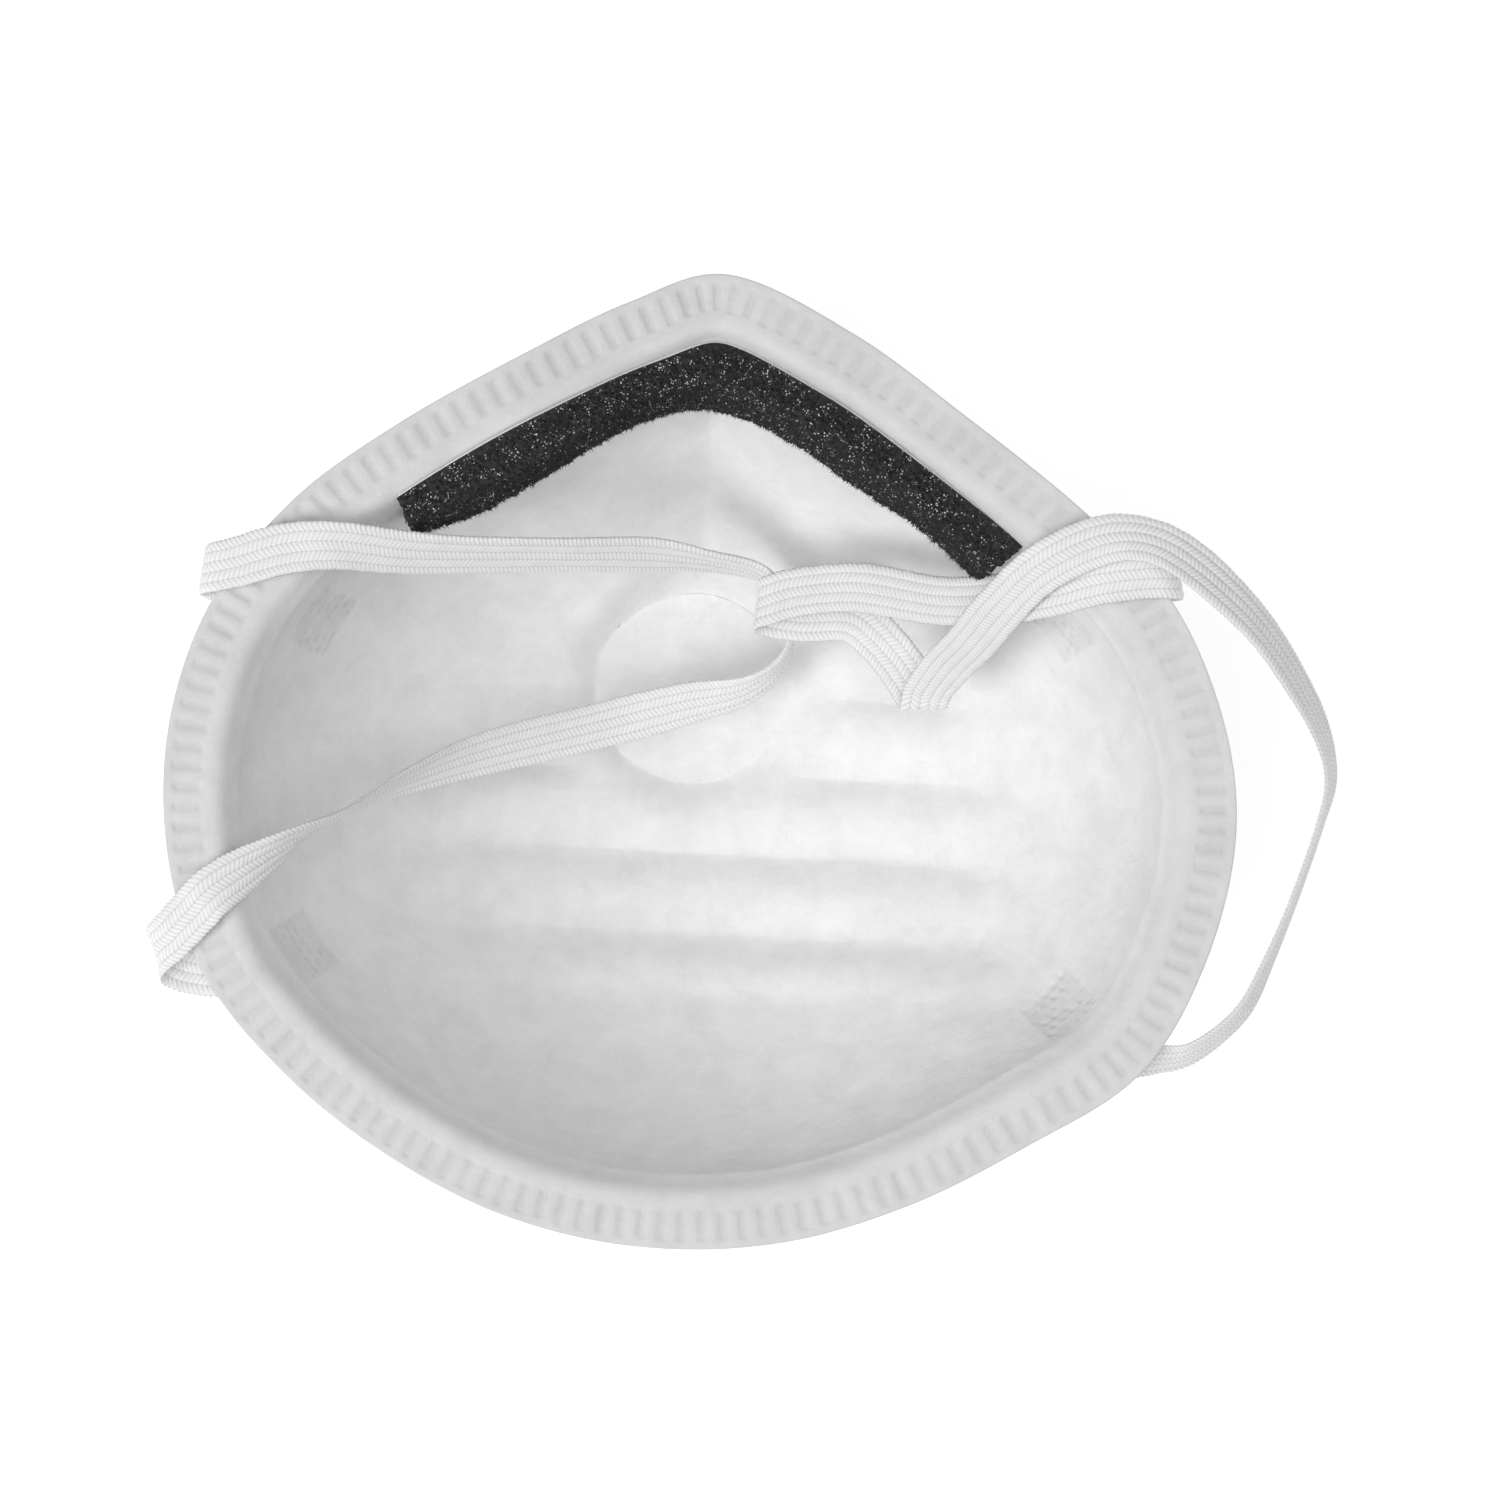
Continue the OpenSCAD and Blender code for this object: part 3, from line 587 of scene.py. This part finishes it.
RIGHT_CUT = (9, 42)


def strap(name, route, cut, step=0.115, nv=36):
    pos = np.array([r[0] for r in route], float)
    wid = np.array([r[1] for r in route], float)
    wid /= np.linalg.norm(wid, axis=1)[:, None]
    n = len(pos)
    j = np.linspace(0, n - 1, 4000)
    i = np.minimum(n - 2, np.floor(j).astype(int))
    t = (j - i)[:, None]
    g = lambda a: cr(a[np.maximum(0, i - 1)], a[i], a[i + 1], a[np.minimum(n - 1, i + 2)], t)
    C, W = g(pos), g(wid)
    L = np.concatenate([[0], np.cumsum(np.linalg.norm(np.diff(C, axis=0), axis=1))])
    m = int(L[-1] / step)
    s = np.linspace(0, L[-1], m)
    C = np.stack([np.interp(s, L, C[:, k]) for k in range(3)], -1)
    W = np.stack([np.interp(s, L, W[:, k]) for k in range(3)], -1)
    ker = np.exp(-0.5 * (np.arange(-12, 13) / 4.6) ** 2)
    ker /= ker.sum()
    pad = lambda a: np.concatenate([np.repeat(a[:1], 12, 0), a, np.repeat(a[-1:], 12, 0)])
    Cs = np.stack([np.convolve(pad(C)[:, k], ker, "valid") for k in range(3)], -1)
    T = np.gradient(Cs, axis=0)
    T /= np.linalg.norm(T, axis=1)[:, None]
    W = W - T * (W * T).sum(1)[:, None]
    W = np.stack([np.convolve(pad(W)[:, k], ker, "valid") for k in range(3)], -1)
    W /= np.linalg.norm(W, axis=1)[:, None]
    H = np.cross(T, W)
    cut_s = [np.interp(c, j, L) for c in cut]
    # braid: five cords, chevron stitches, scalloped selvedge
    v = np.linspace(-1, 1, nv)
    pitch = 0.60
    ribp = (v + 1) / 2 * 5
    fr = ribp - np.floor(ribp)
    rib = np.abs(np.sin(np.pi * ribp)) ** 0.55
    lean = np.where((np.floor(ribp).astype(int) % 2) == 0, 1.0, -1.0) * (fr - 0.5)
    Sg, Vg = np.meshgrid(s, v, indexing="ij")
    stitch = 0.5 + 0.5 * np.cos(2 * np.pi * (Sg / pitch + lean[None] * 1.1))
    stitch2 = 0.5 + 0.5 * np.cos(2 * np.pi * (Sg / pitch - lean[None] * 1.1 + 0.5))
    edge = np.sqrt(np.clip(1 - np.abs(Vg) ** 7, 0, 1))
    half = (0.24 + 0.15 * rib[None] + 0.060 * (stitch - 0.5) * rib[None]) * edge
    half_b = (0.24 + 0.15 * rib[None] + 0.060 * (stitch2 - 0.5) * rib[None]) * edge
    wear = vnoise(np.stack([Sg * 0.35, Vg * 2, Sg * 0], -1), 71) * 0.03
    scal = 1 + 0.022 * np.cos(2 * np.pi * s / pitch) + 0.015 * np.sin(s * 0.37) + 0.008 * np.sin(s * 2.3)
    press = np.zeros(m)
    for a, b_ in ((0, 11.0), (s[-1] - 11.0, s[-1])):
        press = np.maximum(press, sm(a - 0.5, a + 1.2, s) * (1 - sm(b_ - 1.2, b_ + 0.5, s)))
    dots = press[:, None] * sm(0.3, 0.75, (0.5 + 0.5 * np.cos(2 * np.pi * Sg / 1.7)) * (0.5 + 0.5 * np.cos(2 * np.pi * Vg * STRAP_W / 2 / 1.6)))
    # a free edge cups and waves a little
    cup = (0.10 * np.sin(s * 0.21) + 0.06 * np.sin(s * 0.53 + 1))[:, None] * (Vg ** 2 - 0.33)
    hw = (STRAP_W / 2 * scal)[:, None] * Vg
    top = C[:, None] + W[:, None] * hw[..., None] + H[:, None] * (half * (1 - 0.5 * dots) + cup + wear)[..., None]
    bot = C[:, None] + W[:, None] * hw[..., None] + H[:, None] * (-half_b + cup + wear)[..., None]
    ring = np.concatenate([top, bot[:, -2:0:-1]], 1)
    nk = ring.shape[1]
    vv = np.concatenate([v, v[-2:0:-1]])
    groove = np.concatenate([rib, rib[-2:0:-1]])
    st = np.concatenate([stitch, stitch2[:, -2:0:-1]], 1)
    pr = np.concatenate([dots, np.zeros((m, nv - 2))], 1)
    verts = np.concatenate([ring.reshape(-1, 3), C[:1], C[-1:]])
    i, k = np.meshgrid(np.arange(m - 1), np.arange(nk), indexing="ij")
    k2 = (k + 1) % nk
    quads = np.stack([i * nk + k, (i + 1) * nk + k, (i + 1) * nk + k2, i * nk + k2], -1).reshape(-1, 4)
    k = np.arange(nk)
    k2 = (k + 1) % nk
    tris = np.concatenate([np.stack([k, k2, np.full(nk, m * nk)], -1), np.stack([(m - 1) * nk + k2, (m - 1) * nk + k, np.full(nk, m * nk + 1)], -1)])
    S2 = np.repeat(s[:, None], nk, 1)
    fill = lambda a: np.concatenate([a.ravel(), [0, 0]])
    # rib and stitch also drive painted shade in the grooves between the cords and the troughs of the stitches
    ob = make_mesh(name, verts, quads[:, ::-1], tris[:, ::-1],
                   {"rib": fill(np.repeat(groove[None], m, 0)), "stitch": fill(st), "press": fill(pr),
                    "run": fill(S2), "side": fill(np.repeat(vv[None], m, 0))})
    w_attr = sm(cut_s[0] - 1.6, cut_s[0] + 1.6, S2) * (1 - sm(cut_s[1] - 1.6, cut_s[1] + 1.6, S2))
    w_attr = np.concatenate([w_attr.ravel(), [0, 0]])
    return ob, C, L[-1], w_attr, cut_s


left, left_C, left_len, left_w, left_s = strap("left_ear_loop_braid", LEFT, LEFT_CUT)
right, right_C, right_len, right_w, right_s = strap("right_ear_loop_braid", RIGHT, RIGHT_CUT)


# ------------------------------------------------------------------ materials
def new_mat(name, color, rough):
    m = bpy.data.materials.new(name)
    m.use_nodes = True
    nt = m.node_tree
    bsdf = nt.nodes["Principled BSDF"]
    bsdf.inputs["Base Color"].default_value = (*color, 1)
    bsdf.inputs["Roughness"].default_value = rough
    return m, nt, bsdf


def N(nt, kind, **kw):
    n = nt.nodes.new(kind)
    for k, v in kw.items():
        if k.startswith("i_"):
            n.inputs[k[2:].replace("_", " ")].default_value = v
        else:
            setattr(n, k, v)
    return n


def ramp(nt, src, stops):
    r = nt.nodes.new("ShaderNodeValToRGB")
    el = r.color_ramp.elements
    while len(el) < len(stops):
        el.new(0.5)
    for e, (p, c) in zip(el, stops):
        e.position = p
        e.color = (*c, 1) if len(c) == 3 else c
    nt.links.new(src, r.inputs[0])
    return r.outputs[0]


def mixc(nt, fac, a, b, mode="MIX"):
    m = nt.nodes.new("ShaderNodeMix")
    m.data_type = "RGBA"
    m.blend_type = mode
    for sock, val in ((m.inputs[0], fac), (m.inputs[6], a), (m.inputs[7], b)):
        if isinstance(val, (int, float)):
            sock.default_value = val
        elif isinstance(val, tuple):
            sock.default_value = (*val, 1)
        else:
            nt.links.new(val, sock)
    return m.outputs[2]


def math_(nt, op, a, b=None):
    m = nt.nodes.new("ShaderNodeMath")
    m.operation = op
    for sock, val in zip(m.inputs, (a, b)):
        if val is None:
            continue
        if isinstance(val, (int, float)):
            sock.default_value = val
        else:
            nt.links.new(val, sock)
    return m.outputs[0]


def attr(nt, name):
    a = nt.nodes.new("ShaderNodeAttribute")
    a.attribute_name = name
    return a.outputs["Fac"]


def coords(nt, scale=(1, 1, 1), rot=(0, 0, 0)):
    tc = nt.nodes.new("ShaderNodeTexCoord")
    mp = nt.nodes.new("ShaderNodeMapping")
    mp.inputs["Scale"].default_value = scale
    mp.inputs["Rotation"].default_value = rot
    nt.links.new(tc.outputs["Object"], mp.inputs[0])
    return mp.outputs[0]


def noise(nt, vec, scale, detail=3, rough=0.55, dist=0.0):
    n = nt.nodes.new("ShaderNodeTexNoise")
    n.inputs["Scale"].default_value = scale
    n.inputs["Detail"].default_value = detail
    n.inputs["Roughness"].default_value = rough
    n.inputs["Distortion"].default_value = dist
    nt.links.new(vec, n.inputs["Vector"])
    return n.outputs["Fac"]


def bump(nt, bsdf, height, strength, dist, prev=None):
    b_ = nt.nodes.new("ShaderNodeBump")
    b_.inputs["Strength"].default_value = strength
    b_.inputs["Distance"].default_value = dist
    nt.links.new(height, b_.inputs["Height"])
    if prev is not None:
        nt.links.new(prev, b_.inputs["Normal"])
    nt.links.new(b_.outputs["Normal"], bsdf.inputs["Normal"])
    return b_.outputs["Normal"]


def web_material(name, base, shade, fibre=1.0, weld_dark=0.86, tint=(1.0, 1.0, 1.0)):
    """Spun-bond / needled nonwoven: crossing fibres, cloudy density, pressed welds."""
    m, nt, bsdf = new_mat(name, base, 0.86)
    bsdf.inputs["Sheen Weight"].default_value = 0.12
    bsdf.inputs["Sheen Roughness"].default_value = 0.6
    bsdf.inputs["Specular IOR Level"].default_value = 0.28
    f1 = noise(nt, coords(nt, (1, 7, 3), (0, 0, 0.45)), 420, 4, 0.6, 0.7)
    f2 = noise(nt, coords(nt, (7, 1, 3), (0, 0, -0.30)), 400, 4, 0.6, 0.7)
    f3 = noise(nt, coords(nt), 1500, 3, 0.6, 0.3)
    cloud = noise(nt, coords(nt), 190, 4, 0.62, 0.4)
    fib = math_(nt, "ADD", math_(nt, "ABSOLUTE", math_(nt, "SUBTRACT", f1, 0.5)), math_(nt, "ABSOLUTE", math_(nt, "SUBTRACT", f2, 0.5)))
    col = mixc(nt, ramp(nt, cloud, [(0.30, (0, 0, 0)), (0.72, (1, 1, 1))]), shade, base)
    col = mixc(nt, ramp(nt, fib, [(0.02, (0.35, 0.35, 0.35)), (0.10, (0, 0, 0))]), col, tuple(min(1, c * 1.05) for c in base))
    weld = attr(nt, "weld")
    dash = attr(nt, "dash")
    col = mixc(nt, math_(nt, "MULTIPLY", weld, 1.0), col, mixc(nt, 1.0, col, tuple(weld_dark * t for t in tint), "MULTIPLY"))
    col = mixc(nt, math_(nt, "MULTIPLY", dash, 0.85), col, mixc(nt, 1.0, col, (0.90, 0.90, 0.90), "MULTIPLY"))
    col = mixc(nt, math_(nt, "MULTIPLY", attr(nt, "patch"), 0.7), col, mixc(nt, 1.0, col, (0.90, 0.90, 0.90), "MULTIPLY"))
    nt.links.new(col, bsdf.inputs["Base Color"])
    rough = ramp(nt, dash, [(0.0, (0.86, 0.86, 0.86)), (1.0, (0.66, 0.66, 0.66))])
    nt.links.new(rough, bsdf.inputs["Roughness"])
    h = math_(nt, "ADD", math_(nt, "MULTIPLY", fib, -2.2), math_(nt, "MULTIPLY", f3, 0.5))
    b1 = bump(nt, bsdf, h, 0.32 * fibre, 0.00008)
    bump(nt, bsdf, cloud, 0.40 * fibre, 0.00022, b1)
    return m


MAT = {}
MAT["inner_liner"] = web_material("liner_web", (0.90, 0.90, 0.90), (0.80, 0.80, 0.80), 1.25, 0.83)
MAT["outer_cover"] = web_material("cover_web", (0.89, 0.89, 0.89), (0.79, 0.79, 0.79), 1.3, 0.83)
MAT["support_shell"] = web_material("shell_felt", (0.88, 0.88, 0.87), (0.80, 0.80, 0.79), 1.4, 0.9)
MAT["filter_media"] = web_material("filter_web", (0.92, 0.92, 0.92), (0.86, 0.86, 0.86), 0.7, 0.92)

# black open-cell foam; its tiny bright facets are painted highlights, glints painted into the base colour
m, nt, bsdf = new_mat("nose_foam", (0.012, 0.012, 0.013), 0.75)
bsdf.inputs["Specular IOR Level"].default_value = 0.35
grain = noise(nt, coords(nt), 2600, 3, 0.6)
pit = attr(nt, "pit")
strut = attr(nt, "strut")
# painted shade and highlight: the pits are painted darker where shade falls in them, the cell walls and fuzz lighter
# where light catches them
col = mixc(nt, pit, (0.013, 0.013, 0.013), (0.002, 0.002, 0.002))
col = mixc(nt, ramp(nt, grain, [(0.45, (0, 0, 0)), (0.75, (1, 1, 1))]), col, (0.040, 0.040, 0.040))
col = mixc(nt, math_(nt, "MULTIPLY", strut, 0.45), col, (0.065, 0.065, 0.065))
# painted highlight: sparse bright specks mixed into the base colour as glints of light on the cell faces
vor = N(nt, "ShaderNodeTexVoronoi")
vor.inputs["Scale"].default_value = 2700
nt.links.new(coords(nt), vor.inputs["Vector"])
sp = ramp(nt, vor.outputs["Distance"], [(0.20, (1, 1, 1)), (0.30, (0, 0, 0))])
rare = ramp(nt, noise(nt, coords(nt), 900, 2, 0.5), [(0.50, (0, 0, 0)), (0.56, (1, 1, 1))])
painted_glint = mixc(nt, 1.0, sp, rare, "MULTIPLY")
col = mixc(nt, painted_glint, col, (0.85, 0.85, 0.85))
nt.links.new(col, bsdf.inputs["Base Color"])
bump(nt, bsdf, grain, 0.6, 0.0002)
MAT["nose_foam"] = m

# aluminium strip, rolled, slightly scuffed
m, nt, bsdf = new_mat("clip_metal", (0.80, 0.81, 0.82), 0.34)
bsdf.inputs["Metallic"].default_value = 1.0
bsdf.inputs["Anisotropic"].default_value = 0.4
br = noise(nt, coords(nt, (1, 1, 30)), 260, 4, 0.6)
sc = noise(nt, coords(nt), 320, 4, 0.65, 1.0)
nt.links.new(ramp(nt, sc, [(0.3, (0.70, 0.71, 0.72)), (0.7, (0.84, 0.85, 0.86))]), bsdf.inputs["Base Color"])
nt.links.new(ramp(nt, br, [(0.3, (0.26,) * 3), (0.75, (0.46,) * 3)]), bsdf.inputs["Roughness"])
bump(nt, bsdf, br, 0.25, 0.00005)
MAT["nose_clip"] = m

m, nt, bsdf = new_mat("clip_glue", (0.86, 0.82, 0.66), 0.32)
g_ = noise(nt, coords(nt), 500, 3, 0.5)
nt.links.new(ramp(nt, g_, [(0.3, (0.80, 0.75, 0.58)), (0.7, (0.90, 0.87, 0.74))]), bsdf.inputs["Base Color"])
bump(nt, bsdf, g_, 0.3, 0.0001)
MAT["nose_clip_adhesive"] = m

m, nt, bsdf = new_mat("foam_tape", (0.87, 0.87, 0.86), 0.45)
g_ = noise(nt, coords(nt), 700, 3, 0.5)
nt.links.new(ramp(nt, g_, [(0.3, (0.82, 0.82, 0.81)), (0.7, (0.90, 0.90, 0.89))]), bsdf.inputs["Base Color"])
bump(nt, bsdf, g_, 0.2, 0.0001)
MAT["foam_tape"] = m

# white braided elastic
m, nt, bsdf = new_mat("elastic", (0.9, 0.9, 0.9), 0.72)
bsdf.inputs["Sheen Weight"].default_value = 0.25
bsdf.inputs["Sheen Roughness"].default_value = 0.5
bsdf.inputs["Specular IOR Level"].default_value = 0.35
rib_shade, stitch_shade, press_a = attr(nt, "rib"), attr(nt, "stitch"), attr(nt, "press")
yarn = noise(nt, coords(nt), 2600, 3, 0.6, 0.4)
blot = noise(nt, coords(nt), 260, 3, 0.6)
# painted shade: the grooves between the cords and the troughs of the stitches are painted darker
col = mixc(nt, ramp(nt, rib_shade, [(0.0, (0, 0, 0)), (0.45, (1, 1, 1))]), (0.70, 0.70, 0.70), (0.92, 0.92, 0.92))
col = mixc(nt, ramp(nt, stitch_shade, [(0.05, (0, 0, 0)), (0.55, (1, 1, 1))]), mixc(nt, 1.0, col, (0.80, 0.80, 0.80), "MULTIPLY"), col)
col = mixc(nt, ramp(nt, blot, [(0.3, (0, 0, 0)), (0.75, (1, 1, 1))]), mixc(nt, 1.0, col, (0.95, 0.95, 0.95), "MULTIPLY"), col)
col = mixc(nt, press_a, col, mixc(nt, 1.0, col, (0.87, 0.87, 0.87), "MULTIPLY"))
nt.links.new(col, bsdf.inputs["Base Color"])
bump(nt, bsdf, yarn, 0.45, 0.00012)
MAT["elastic"] = m

for ob, key, node_names, slot_name in (
        (liner, "inner_liner", ["inner_liner"], "liner_web"), (cover, "outer_cover", ["outer_cover"], "cover_web"),
        (shell, "support_shell", ["support_shell"], "shell_felt"), (media, "filter_media", ["filter_media"], "filter_web"),
        (clip, "nose_clip", ["nose_clip"], "clip_metal"), (glue, "nose_clip_adhesive", ["nose_clip_adhesive"], "clip_glue"),
        (tape, "foam_tape", ["foam_tape"], "foam_tape"), (foam, "nose_foam", ["nose_foam"], "nose_foam")):
    ob.data.materials.append(MAT[key])
    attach(ob, "mask")
    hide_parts(*node_names)

for ob, C, length, w, body, cut_s, names in (
        (left, left_C, left_len, left_w, "left_loop", left_s, ("left_ear_loop", "left_loop_upper_tab", "left_loop_lower_tab")),
        (right, right_C, right_len, right_w, "right_loop", right_s, ("right_ear_loop", "right_loop_upper_tab", "right_loop_lower_tab"))):
    ob.data.materials.append(MAT["elastic"])
    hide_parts(*names)
    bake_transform(ob)

# ------------------------------------------------------------------ floor, light, camera
me = bpy.data.meshes.new("floor")
R = 3.0
me.from_pydata([(-R, -R, 0), (R, -R, 0), (R, R, 0), (-R, R, 0)], [], [(0, 1, 2, 3)])
floor = bpy.data.objects.new("floor", me)
bpy.context.scene.collection.objects.link(floor)
floor.location.z = -0.0002
m, nt, bsdf = new_mat("floor_white", (0.70, 0.70, 0.70), 0.9)        # a lit table: pale, almost free of shadow
bsdf.inputs["Specular IOR Level"].default_value = 0.1
bsdf.inputs["Emission Color"].default_value = (1, 1, 1, 1)
bsdf.inputs["Emission Strength"].default_value = 0.56
me.materials.append(m)

scene = bpy.context.scene
world = bpy.data.worlds.new("world") if scene.world is None else scene.world
scene.world = world
world.use_nodes = True
world.node_tree.nodes["Background"].inputs[0].default_value = (1, 1, 1, 1)
world.node_tree.nodes["Background"].inputs[1].default_value = 0.27


def area(name, loc, target, size, power):
    li = bpy.data.lights.new(name, "AREA")
    li.shape = "DISK"
    li.size = size
    li.energy = power
    o = bpy.data.objects.new(name, li)
    scene.collection.objects.link(o)
    o.location = loc
    o.rotation_euler = (Vector(target) - Vector(loc)).to_track_quat("-Z", "Y").to_euler()
    return o


area("key", (-0.55, -0.34, 0.76), (0, 0, 0.02), 0.5, 4.7)
area("fill", (0.72, 0.25, 0.7), (-0.03, 0, 0.03), 0.8, 0.9)
area("top", (0.0, 0.0, 1.3), (0, 0, 0.02), 0.9, 4.8)

cam_d = bpy.data.cameras.new("camera")
cam_d.sensor_width = 36.0
cam_d.lens = 36.0 * 600.0 / (1500 / 8.15)
cam = bpy.data.objects.new("camera", cam_d)
scene.collection.objects.link(cam)
cam.location = (6.1 * MM, 1.5 * MM, 0.650)
cam.rotation_euler = (0, 0, 0)
scene.camera = cam
scene.view_settings.view_transform = "Standard"
